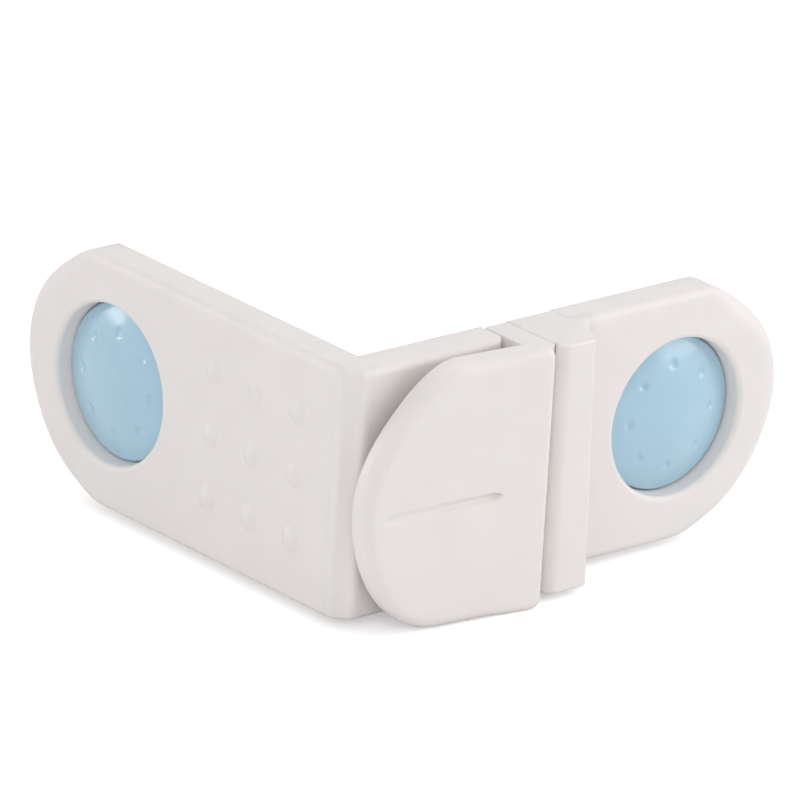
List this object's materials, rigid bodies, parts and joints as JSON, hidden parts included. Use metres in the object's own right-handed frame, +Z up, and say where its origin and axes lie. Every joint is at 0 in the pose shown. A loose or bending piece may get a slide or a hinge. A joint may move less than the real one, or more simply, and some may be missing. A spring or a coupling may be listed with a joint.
{
  "type": "cabinet safety lock",
  "caption": "Right-angle child safety lock: a folding arm with a D-shaped press lever that latches a catch pad on a drawer, with round snap-in caps over the screw holes.",
  "frame": {"origin": "foot of the cabinet's upright edge, where its side and the drawer's front meet", "axes": "+Z up along that edge; +X along the drawer's front from the edge; +Y along the cabinet's side, away from the front. The lock lies on the -X and -Y sides."},
  "size_m": [0.0919, 0.0911, 0.044],
  "materials": {
    "white_plastic": "satin moulded",
    "blue_plastic": "gloss",
    "steel": "ground",
    "foam": "closed-cell foam",
    "liner_film": "waxed film"
  },
  "bodies": {
    "long_arm": {"long_arm": "white_plastic", "hinge_web": "white_plastic", "left_foam_pad": "foam", "left_liner": "liner_film"},
    "strap": {"strap": "white_plastic", "lever_pin": "steel", "return_spring": "steel"},
    "release_lever": {"release_lever": "white_plastic"},
    "catch_pad": {"catch_pad": "white_plastic", "right_foam_pad": "foam", "right_liner": "liner_film"},
    "left_cap": {"left_cap": "blue_plastic"},
    "right_cap": {"right_cap": "blue_plastic"}
  },
  "joints": [
    {"name": "corner_fold", "type": "hinge", "parent": "long_arm", "child": "strap", "pos_m": [-0.00558, -0.00558, 0.021], "axis": [0, 0, -1], "range_deg": [0, 90], "deforming": ["hinge_web"]},
    {"name": "release_press", "type": "hinge", "parent": "strap", "child": "release_lever", "pos_m": [0.0257, -0.0035, 0.021], "axis": [0, 0, -1], "range_deg": [0, 2.8], "stiffness_Nm_per_rad": 1.5, "springref_deg": -1.15, "deforming": ["return_spring"]},
    {"name": "catch_slide", "type": "slide", "parent": "strap", "child": "catch_pad", "axis": [1, 0, 0], "range_m": [0, 0.015]},
    {"name": "left_cap_pop", "type": "slide", "parent": "long_arm", "child": "left_cap", "axis": [-1, 0, 0], "range_m": [0, 0.012]},
    {"name": "right_cap_pop", "type": "slide", "parent": "catch_pad", "child": "right_cap", "axis": [0, -1, 0], "range_m": [0, 0.012]}
  ]
}
